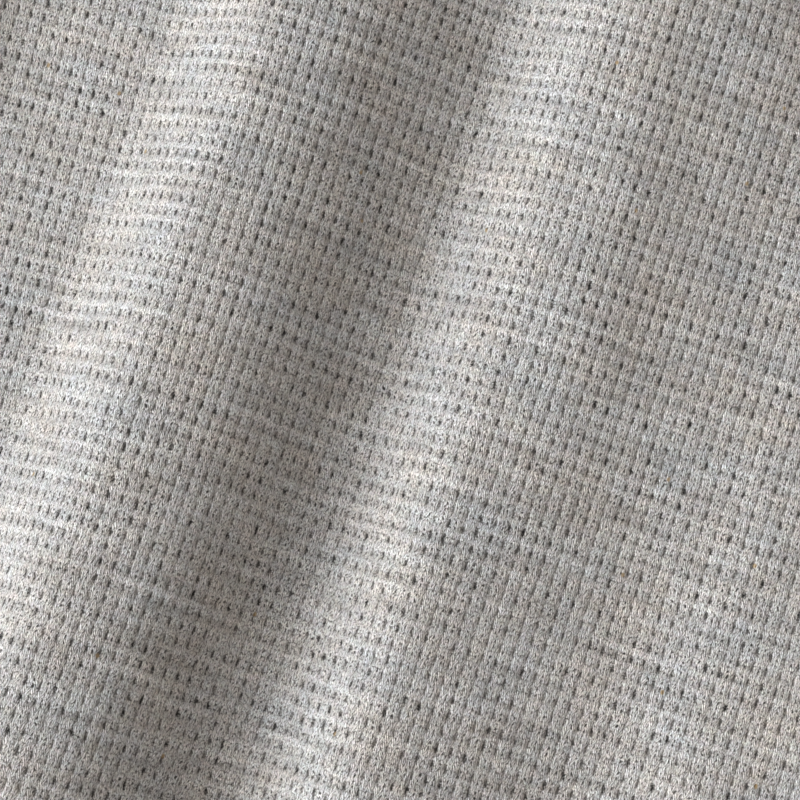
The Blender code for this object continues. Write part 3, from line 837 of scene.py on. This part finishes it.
def assemble(name, uv, top, faces, quads, under_uv, under, under_faces, n_loop, is_fine):
    """Closes an upper face and an under face with a rounded rim."""
    a, b = top[:n_loop], under[:n_loop]
    middle, half = 0.5 * (a + b), 0.5 * (a - b)
    run = np.roll(a, -1, axis=0) - np.roll(a, 1, axis=0)
    out = np.cross(run, half)
    out /= np.maximum(np.linalg.norm(out, axis=1, keepdims=True), 1e-9)
    rings = [middle + half * math.cos(t) + out * np.linalg.norm(half, axis=1, keepdims=True) * math.sin(t)
             for t in (math.pi / 4, math.pi / 2, 3 * math.pi / 4)]
    n_top, n_under = len(top), len(under)
    verts = np.concatenate([top, under] + rings)
    way = np.roll(uv[:n_loop], -1, axis=0) - np.roll(uv[:n_loop], 1, axis=0)
    way = np.stack([way[:, 1], -way[:, 0]], -1) / np.linalg.norm(way, axis=1, keepdims=True)
    place = np.concatenate([uv, under_uv])
    # the cut place goes on round the edge
    round_edge = [uv[:n_loop] + way * WALL / 2 * t for t in np.linspace(0, math.pi, 5)]
    chain = [np.arange(n_loop), n_top + n_under + np.arange(n_loop),
             n_top + n_under + n_loop + np.arange(n_loop),
             n_top + n_under + 2 * n_loop + np.arange(n_loop), n_top + np.arange(n_loop)]
    rim, rim_cut = [], []
    for k, (upper, lower) in enumerate(zip(chain[:-1], chain[1:])):
        rim.append(np.stack([np.roll(upper, -1), upper, lower, np.roll(lower, -1)], -1))
        near, far = round_edge[k], round_edge[k + 1]
        rim_cut.append(np.stack([np.roll(near, -1, axis=0), near, far, np.roll(far, -1, axis=0)], 1))
    rim, rim_cut = np.concatenate(rim), np.concatenate(rim_cut).reshape(-1, 2)
    tris = np.concatenate([faces, under_faces[:, ::-1] + n_top])
    quads = quads if quads is not None else np.zeros((0, 4), int)
    all_faces = tris.tolist() + quads.tolist() + rim.tolist()
    cut = np.concatenate([place[tris.ravel()], place[quads.ravel()], rim_cut])
    fine = np.zeros(len(verts))
    fine[:n_top] = is_fine
    obj = add_piece(name, verts, all_faces, cut, WAFFLE, fine)
    return obj


def loop_area(loop):
    x, y = loop[:, 0], loop[:, 1]
    return 0.5 * abs((x * np.roll(y, -1) - np.roll(x, -1) * y).sum())


front = front_panel()


# ---------------------------------------------------------------- back panel
def back_panel():
    loop, full = outline(BACK_DROP, WALL / 2)
    low, high = loop.min(0), loop.max(0)
    cloud = lattice(low, high, 0.010)
    cloud = cloud[inside(cloud, loop) & (distance_to(cloud, loop) > 0.0095) & (cloud[:, 1] > HEM_Y + 0.0235)]
    run = np.roll(loop, -1, axis=0) - np.roll(loop, 1, axis=0)
    run /= np.linalg.norm(run, axis=1, keepdims=True)
    inward = np.stack([-run[:, 1], run[:, 0]], -1)
    beside = []
    for off in (0.0022, 0.0056, 0.0076):
        p = (loop + off * inward)[::2]
        beside.append(p[(distance_to(p, loop) > 0.93 * off) & (p[:, 1] > HEM_Y + 0.0235)])
    rows = []
    for up in (0.0045, 0.0138, 0.0155, 0.0172, 0.0185, 0.0198, 0.0216):
        width = float(half_width(HEM_Y + up)) - 0.0022
        x = np.linspace(-width, width, 84)
        rows.append(np.stack([x, np.full_like(x, HEM_Y + up + WALL / 2)], -1))
    extra = np.concatenate([cloud] + beside + rows)
    extra = extra[inside(extra, loop) & (distance_to(extra, loop) > 0.0006)]
    uv, faces = fill(loop, extra)
    edge = distance_to(uv, full)
    top = back_sheet(uv[:, 0], uv[:, 1], edge)
    under_points = lattice(low, high, 0.014)
    under_points = under_points[inside(under_points, loop) & (distance_to(under_points, loop) > 0.006)]
    under_uv, under_faces = fill(loop, under_points)
    under = back_sheet(under_uv[:, 0], under_uv[:, 1], distance_to(under_uv, full))
    under[:, 2] = 0.0
    return assemble("back_shell", uv, top, faces, None, under_uv, under, under_faces, len(loop), np.zeros(len(uv)))


back = back_panel()


# ---------------------------------------------------------------- sleeves and cuffs
def sleeve_sections(sign):
    turn = RIGHT_TURN if sign < 0 else 0.0
    foot = np.array([HALF_CHEST + GAP, UNDERARM_Y])
    sections = []
    for k, row in enumerate(SLEEVE):
        f = dict(zip(SLEEVE_COLUMNS, row))
        share = (k + 1) / len(SLEEVE)
        heading = math.radians(f["heading"] + turn * share)
        across = math.radians(f["section"] - turn * share)
        foot = foot + f["step"] * np.array([math.cos(heading), -math.sin(heading)])
        head = foot + f["width"] * np.array([math.cos(across), math.sin(across)])
        sections.append((foot * [sign, 1], head * [sign, 1]))
    return sections


ARMHOLE_Y = UNDERARM_Y + ARMHOLE_SHARES * (TIP_Y - UNDERARM_Y)
FINE_SHARES = np.linspace(0, 1, 90)


def armhole_points(sign, share, out=0.0):
    y = UNDERARM_Y + FINE_SHARES * (TIP_Y - UNDERARM_Y)
    line = np.stack([side_x(y, sign), y], -1)
    run = np.gradient(line, axis=0)
    run /= np.linalg.norm(run, axis=1, keepdims=True)
    line = line + out * np.stack([run[:, 1], -run[:, 0]], -1) * sign
    return np.stack([np.interp(share, FINE_SHARES, line[:, i]) for i in (0, 1)], -1)


def through(points, knots, t):
    """A smooth curve through points at knots (Catmull-Rom), taken at t."""
    points = np.asarray(points, float)
    slope = np.gradient(points, knots, axis=0)
    k = np.clip(np.searchsorted(knots, t, side="right") - 1, 0, len(knots) - 2)
    h = knots[k + 1] - knots[k]
    s = (t - knots[k]) / h
    return ((2 * s ** 3 - 3 * s ** 2 + 1) * points[k] + (s ** 3 - 2 * s ** 2 + s) * h * slope[k]
            + (-2 * s ** 3 + 3 * s ** 2) * points[k + 1] + (s ** 3 - s ** 2) * h * slope[k + 1])


def ring_of(plan, height, upper, under, rise):
    """A closed ring round a flattened tube: the upper face from the top edge to
    the underarm edge, then the under face back.  Gives points and the distance
    round it."""
    ends = plan(np.array([0.0, 1.0]))
    r = height / 2
    edge = r / np.linalg.norm(ends[1] - ends[0])
    bend = np.linspace(math.pi / 2, -math.pi / 2, 7)[1:-1]
    share = np.concatenate([np.linspace(1 - edge, edge, upper),
                            edge - edge * np.cos(bend),
                            np.linspace(edge, 1 - edge, under),
                            1 - edge + edge * np.cos(bend[::-1])])
    z = np.concatenate([np.full(upper, height), r + r * np.sin(bend),
                        np.zeros(under), r + r * np.sin(bend[::-1])])
    xy = plan(share)
    if rise is not None:
        z[:upper] += rise(xy[:upper, 0], xy[:upper, 1], share[:upper])
    points = np.column_stack([xy, z])
    return points, share


def rim_places(cuts, wall):
    """Cut places of a tube's layers: its outer face, one rim, its inner face and
    the other rim, with the knit going on round each rim."""
    cuts = np.array(cuts)
    way = np.sign(cuts[-1, 0, 1] - cuts[0, 0, 1])
    rim = [np.array([0.0, way * wall / 2 * t]) for t in np.linspace(0, math.pi, 5)]
    return np.array(list(cuts) + [cuts[-1] + d for d in rim[1:4]]
                    + [c + rim[4] for c in cuts[::-1]] + [cuts[0] - d for d in rim[3:0:-1]])


def tube_piece(name, rings, cuts, wall, material, sign):
    """A tube of cloth from its outer rings: an outer and an inner wall, closed
    by a rounded rim at each end.  cuts has the place round and along of each
    ring's points, with one more at the end of a ring for the seam."""
    outer = drift(np.array(rings))
    n_rings, n = outer.shape[:2]
    around = np.roll(outer, -1, axis=1) - np.roll(outer, 1, axis=1)
    along = np.gradient(outer, axis=0)
    normal = np.cross(around, along)
    normal /= np.maximum(np.linalg.norm(normal, axis=-1, keepdims=True), 1e-12)
    centre = outer.mean(1, keepdims=True)
    if ((outer - centre) * normal).sum() < 0:
        normal = -normal
    inner = outer - wall * normal
    # the rims: half rounds at both ends
    end = []
    for k, way in ((0, -1), (n_rings - 1, 1)):
        out = along[k] * way
        out /= np.linalg.norm(out, axis=-1, keepdims=True)
        mid, half = 0.5 * (outer[k] + inner[k]), 0.5 * (outer[k] - inner[k])
        end.append([mid + half * math.cos(t) + out * wall / 2 * math.sin(t)
                    for t in (math.pi / 4, math.pi / 2, 3 * math.pi / 4)])
    layers = ([outer[k] for k in range(n_rings)] + end[1] + [inner[k] for k in range(n_rings - 1, -1, -1)]
              + end[0][::-1])
    verts = np.concatenate(layers)
    cut_layers = rim_places(cuts, wall)
    count = len(layers)
    faces, uv = [], []
    col = np.arange(n)
    nxt = (col + 1) % n
    for k in range(count):
        m = (k + 1) % count
        quad = np.stack([k * n + col, k * n + nxt, m * n + nxt, m * n + col], -1)
        place = np.stack([cut_layers[k][:-1], cut_layers[k][1:], cut_layers[m][1:], cut_layers[m][:-1]], 1)
        faces.append(quad)
        uv.append(place)
    faces, uv = np.concatenate(faces), np.concatenate(uv)
    p = verts[faces]
    volume = (np.cross(p[:, 0], p[:, 1]) * p[:, 2]).sum() + (np.cross(p[:, 0], p[:, 2]) * p[:, 3]).sum()
    if volume < 0:
        faces, uv = faces[:, ::-1], uv[:, ::-1]
    return add_piece(name, verts, faces.tolist(), uv.reshape(-1, 2), material,
                     np.zeros(len(verts)) if material is WAFFLE else None)


def cut_of(rings, base=0.0):
    """Place round and along of each ring's points, from the lengths there."""
    rings = np.array(rings)
    step = np.linalg.norm(np.diff(rings.mean(1)[:, :2], axis=0), axis=1)
    along = base - np.concatenate([[0], np.cumsum(step)])
    cuts = []
    for ring, v in zip(rings, along):
        d = np.linalg.norm(np.roll(ring, -1, axis=0)[:, :2] - ring[:, :2], axis=1)
        d = np.maximum(d, np.linalg.norm(np.roll(ring, -1, axis=0) - ring, axis=1))
        round_ = np.concatenate([[0], np.cumsum(d)])
        round_ -= round_[-1] * 0.25
        cuts.append(np.column_stack([round_, np.full(len(round_), v)]))
    return cuts, along


def sleeve(sign, name, node):
    sections = sleeve_sections(sign)
    ends = armhole_points(sign, np.array([0.0, 1.0]))
    knots = np.arange(len(sections) + 1, dtype=float)
    feet = np.array([ends[0]] + [s[0] for s in sections])
    heads = np.array([ends[1]] + [s[1] for s in sections])
    steps = np.concatenate([[0.0, 0.012, 0.03, 0.055], np.linspace(0.09, len(sections) - 0.05, 128),
                            [len(sections) - 0.03, len(sections) - 0.015, len(sections)]])
    rings = []
    for t in steps:
        t = float(t)
        foot = through(feet, knots, np.array([t]))[0]
        head = through(heads, knots, np.array([t]))[0]
        ease = 0.011 * smooth(1 - (len(sections) - t) / 0.11)      # drawn in to the cuff
        foot, head = foot + ease * (head - foot), head - ease * (head - foot)
        cap = max(0.0, 1 - t / 3) ** 3 if t > 0 else 1.0
        start = smooth(t / 0.35)

        def plan(q, foot=foot, head=head, cap=cap):
            bulge = (armhole_points(sign, np.clip(q, 0, 1), out=0.0001)
                     - ends[0] - np.clip(q, 0, 1)[:, None] * (ends[1] - ends[0]))
            return foot + q[:, None] * (head - foot) + cap * bulge

        def rise(x, y, share, t=t, start=start):
            f = (fold_height(x, y) + ridges(CREASES, x, y)) * (1 - np.abs(2 * share - 1) ** 4) * start
            dip = -0.0010 * (1 - smooth(t / 0.10)) - 0.0007 * (1 - smooth((len(sections) - t) / 0.05))
            return f + dip
        ring, share = ring_of(plan, TUBE, 58, 14, rise)
        rings.append(ring)
    cuts, along = cut_of(rings)
    obj = tube_piece(name, rings, cuts, WALL, WAFFLE, sign)
    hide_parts(node)
    widths = [c[-1][0] - c[0][0] for c in cuts]
    area = float(np.sum(0.5 * (np.array(widths)[1:] + np.array(widths)[:-1]) * -np.diff(along)))
    size = (float(max(widths)), float(-along[-1]))
    return obj, size, min(area, size[0] * size[1] * 0.999), sections[-1]


def cuff(sign, name, node, foot, head):
    across = head - foot
    down = np.array([across[1], -across[0]]) * sign / np.linalg.norm(across)
    middle = 0.5 * (foot + head)
    knots = np.array([0.0, 0.12, 0.6, 1.0])
    widths = np.array([[0.97], [0.93], [CUFF_TAPER], [CUFF_TAPER]])
    rings, phases = [], []
    length = np.linalg.norm(across)
    n_ribs = int(round(2 * length * 0.9 / RIB_PITCH))
    for share in np.concatenate([[0.0, 0.02, 0.05], np.linspace(0.1, 0.95, 16), [0.98, 1.0]]):
        width = float(through(widths, knots, np.array([share]))[0, 0])
        centre = middle + down * (0.0001 + share * CUFF)
        height = TUBE + 0.0006 - 0.0008 * (1 - smooth(share / 0.05))
        ring, _ = ring_of(lambda q, c=centre, w=width: c + (q[:, None] - 0.5) * across * w,
                          height, 150, 144, None)
        rings.append(ring)
    cuts, along = cut_of(rings)
    # whole ribs round the cuff
    for c in cuts:
        c[:, 0] = (c[:, 0] - c[0, 0]) / (c[-1, 0] - c[0, 0]) * n_ribs * RIB_PITCH
    rings = np.array(rings)
    run = np.roll(rings, -1, axis=1) - np.roll(rings, 1, axis=1)
    axis = np.gradient(rings, axis=0)
    out = np.cross(run, axis)
    out /= np.maximum(np.linalg.norm(out, axis=-1, keepdims=True), 1e-12)
    if ((rings - rings.mean(1, keepdims=True)) * out).sum() < 0:
        out = -out
    phase = np.array([c[:-1, 0] for c in cuts]) / RIB_PITCH
    sink = 0.00042 * (0.5 - 0.5 * np.cos(2 * math.pi * (phase + 0.5)))
    flat = rings[..., 2] < 0.0002
    sink[flat] = 0.0
    rings = rings - out * sink[..., None]
    obj = tube_piece(name, list(rings), cuts, RIB_WALL, RIB, sign)
    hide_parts(node)
    return obj, (n_ribs * RIB_PITCH, CUFF)


for sign, side in ((1, "left"), (-1, "right")):
    obj, size, area, wrist = sleeve(sign, "sleeve_shell_" + side, "sleeve_" + side)
    obj, size = cuff(sign, "cuff_shell_" + side, "cuff_" + side, *wrist)


# ---------------------------------------------------------------- neckband
def neckband():
    n_front, n_turn, n_back = 360, 9, 240
    seam_z, free_z = 0.0046, 0.0058
    edges = []
    for share in np.concatenate([[0.0, 0.04, 0.10], np.linspace(0.2, 0.9, 8), [0.96, 1.0]]):
        wide = HALF_NECK - 0.0001 - share * BAND
        y0 = NECK_Y + share * 0.004
        top_z = seam_z + share * (free_z - seam_z) - 0.0008 * (1 - smooth(share / 0.08))
        front_drop = FRONT_DROP - 0.0001 - share * (BAND - 0.004)
        back_drop = BACK_DROP - 0.0001 - share * (BAND - 0.004)
        a = np.linspace(math.pi, 0, n_front)
        path = [np.stack([wide * np.cos(a), y0 - front_drop * np.sin(a), np.full(n_front, top_z)], -1)]
        b = np.linspace(math.pi / 2, -math.pi / 2, n_turn + 2)[1:-1]
        turn = np.stack([np.full(n_turn, wide), y0 + top_z / 2 * np.cos(b), top_z / 2 * (1 + np.sin(b))], -1)
        path.append(turn)
        a = np.linspace(0, math.pi, n_back)
        path.append(np.stack([wide * np.cos(a), y0 - back_drop * np.sin(a), np.zeros(n_back)], -1))
        path.append(turn[::-1] * [-1, 1, 1])
        edges.append(np.concatenate(path))
    rings = np.array(edges)
    cuts, along = cut_of(list(rings))
    middle = cuts[len(cuts) // 2]
    n_ribs = int(round((middle[-1, 0] - middle[0, 0]) / RIB_PITCH))
    for k, c in enumerate(cuts):
        c[:, 0] = (c[:, 0] - c[0, 0]) / (c[-1, 0] - c[0, 0]) * n_ribs * RIB_PITCH
        c[:, 1] = -BAND * k / (len(cuts) - 1)
    run = np.roll(rings, -1, axis=1) - np.roll(rings, 1, axis=1)
    axis = np.gradient(rings, axis=0)
    out = np.cross(run, axis)
    out /= np.maximum(np.linalg.norm(out, axis=-1, keepdims=True), 1e-12)
    if out[0, :n_front, 2].mean() < 0:
        out = -out
    phase = np.array([c[:-1, 0] for c in cuts]) / RIB_PITCH
    sink = 0.00040 * (0.5 - 0.5 * np.cos(2 * math.pi * (phase + 0.5)))
    sink[rings[..., 2] < 0.0002] = 0.0
    rings = rings - out * sink[..., None]
    return band_piece(rings, cuts, out), (n_ribs * RIB_PITCH, BAND)


def band_piece(rings, cuts, out):
    outer = drift(rings)
    inner = outer - RIB_WALL * out
    n_rings, n = outer.shape[:2]
    along = np.gradient(outer, axis=0)
    end = []
    for k, way in ((0, -1), (n_rings - 1, 1)):
        o = along[k] * way
        o /= np.linalg.norm(o, axis=-1, keepdims=True)
        mid, half = 0.5 * (outer[k] + inner[k]), 0.5 * (outer[k] - inner[k])
        end.append([mid + half * math.cos(t) + o * RIB_WALL / 2 * math.sin(t)
                    for t in (math.pi / 5, math.pi / 2, 4 * math.pi / 5)])
    layers = (list(outer) + end[1] + list(inner[::-1]) + end[0][::-1])
    cut_layers = rim_places(cuts, RIB_WALL)
    verts = np.concatenate(layers)
    count = len(layers)
    col = np.arange(n)
    nxt = (col + 1) % n
    faces, uv = [], []
    for k in range(count):
        m = (k + 1) % count
        faces.append(np.stack([k * n + col, k * n + nxt, m * n + nxt, m * n + col], -1))
        uv.append(np.stack([cut_layers[k][:-1], cut_layers[k][1:], cut_layers[m][1:], cut_layers[m][:-1]], 1))
    faces, uv = np.concatenate(faces), np.concatenate(uv)
    p = verts[faces]
    volume = (np.cross(p[:, 0], p[:, 1]) * p[:, 2]).sum() + (np.cross(p[:, 0], p[:, 2]) * p[:, 3]).sum()
    if volume < 0:
        faces, uv = faces[:, ::-1], uv[:, ::-1]
    return add_piece("neckband_shell", verts, faces.tolist(), uv.reshape(-1, 2), RIB)


band, band_size = neckband()
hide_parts("neckband")
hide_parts("front")
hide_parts("back")


# ---------------------------------------------------------------- stitches
def stitch_row(name, path, up, pitch, length, thick, lean=0.0):
    """A row of short stitches laid along a path of points, each a small rounded
    bar that dips into the cloth at both ends."""
    seg = np.linalg.norm(np.diff(path, axis=0), axis=1)
    run = np.concatenate([[0], np.cumsum(seg)])
    count = int(run[-1] / pitch)
    at = lambda s, line: np.stack([np.interp(s, run, line[:, i]) for i in range(3)], -1)
    verts, faces, cut = [], [], []
    sides, spans = 6, np.linspace(-1, 1, 6)
    for k in range(count):
        middle = (k + 0.5) * pitch
        points = []
        for t in spans:
            s = np.array([middle + t * length / 2])
            p = at(s, path)[0]
            n = at(s, up)[0]
            n /= np.linalg.norm(n)
            d = at(s + 0.0004, path)[0] - at(s - 0.0004, path)[0]
            d /= np.linalg.norm(d)
            b = np.cross(n, d)
            r = thick / 2 * math.sqrt(max(0.12, 1 - t ** 4))
            centre = p + n * (thick * 0.34 - thick * 0.75 * t ** 4) + b * lean * t
            points.append([centre + r * (math.cos(q) * b + math.sin(q) * n)
                           for q in np.arange(sides) * 2 * math.pi / sides])
        base = len(verts)
        for ring in points:
            verts.extend(ring)
        for a in range(len(spans) - 1):
            for c in range(sides):
                d2 = (c + 1) % sides
                faces.append([base + a * sides + c, base + a * sides + d2,
                              base + (a + 1) * sides + d2, base + (a + 1) * sides + c])
                cut.extend([[middle, c * 0.0002], [middle, c * 0.0002],
                            [middle + 0.0004, c * 0.0002], [middle + 0.0004, c * 0.0002]])
        faces.append([base + c for c in range(sides)][::-1])
        cut.extend([[middle, 0.0]] * sides)
        faces.append([base + (len(spans) - 1) * sides + c for c in range(sides)])
        cut.extend([[middle, 0.0]] * sides)
    return add_piece(name, verts, faces, cut, THREAD)


def hem_stitches(sheet, name, row):
    u = np.linspace(-HALF_HEM + 0.004, HALF_HEM - 0.004, 240)
    v = np.full_like(u, HEM_Y + HEM_TURN - row)
    edge = np.full_like(u, 0.02)
    return stitch_row(name, sheet(u, v, edge), normals_of(sheet, u, v, edge), 0.0030, 0.0025, 0.00055)


hem_rows = [hem_stitches(front_sheet, "front_hem_stitches_upper", 0.0015),
            hem_stitches(front_sheet, "front_hem_stitches_lower", 0.0045)]

loop_area(outline(FRONT_DROP, 0.0)[1])
loop_area(outline(BACK_DROP, 0.0)[1])

# ---------------------------------------------------------------- floor and light
ground = bpy.data.meshes.new("floor")
ground.from_pydata([(-15, -15, -0.0002), (15, -15, -0.0002), (15, 15, -0.0002), (-15, 15, -0.0002)],
                   [], [(0, 1, 2, 3)])
ground.materials.append(floor_material())
floor = bpy.data.objects.new("floor", ground)
bpy.context.scene.collection.objects.link(floor)

LIGHT_TILT = math.radians(63)    # between the line of sight and the light, towards the picture's left
light_way = (-right_on_ground * math.sin(LIGHT_TILT) + to_camera * math.cos(LIGHT_TILT)).normalized()
key = bpy.data.lights.new("key", "SUN")
key.energy = 4.90
key.color = (0.93, 0.965, 1.0)
key.angle = math.radians(48)
key_object = bpy.data.objects.new("key", key)
key_object.rotation_mode = "QUATERNION"
key_object.rotation_quaternion = light_way.to_track_quat("Z", "Y")
bpy.context.scene.collection.objects.link(key_object)

world = bpy.data.worlds.new("studio")
world.use_nodes = True
world.node_tree.nodes["Background"].inputs[0].default_value = (1.0, 0.93, 0.87, 1.0)
world.node_tree.nodes["Background"].inputs[1].default_value = 0.352
# the studio's far wall, as the eye sees it behind the floor, is pale; it adds no light
wall = world.node_tree.nodes.new("ShaderNodeBackground")
wall.inputs[0].default_value = (0.79, 0.785, 0.775, 1.0)
wall.inputs[1].default_value = 1.0
ray = world.node_tree.nodes.new("ShaderNodeLightPath")
either = world.node_tree.nodes.new("ShaderNodeMixShader")
for source, socket in ((ray.outputs["Is Camera Ray"], either.inputs[0]),
                       (world.node_tree.nodes["Background"].outputs[0], either.inputs[1]),
                       (wall.outputs[0], either.inputs[2]),
                       (either.outputs[0], world.node_tree.nodes["World Output"].inputs["Surface"])):
    world.node_tree.links.new(source, socket)
bpy.context.scene.world = world
bpy.context.scene.view_settings.view_transform = "Standard"
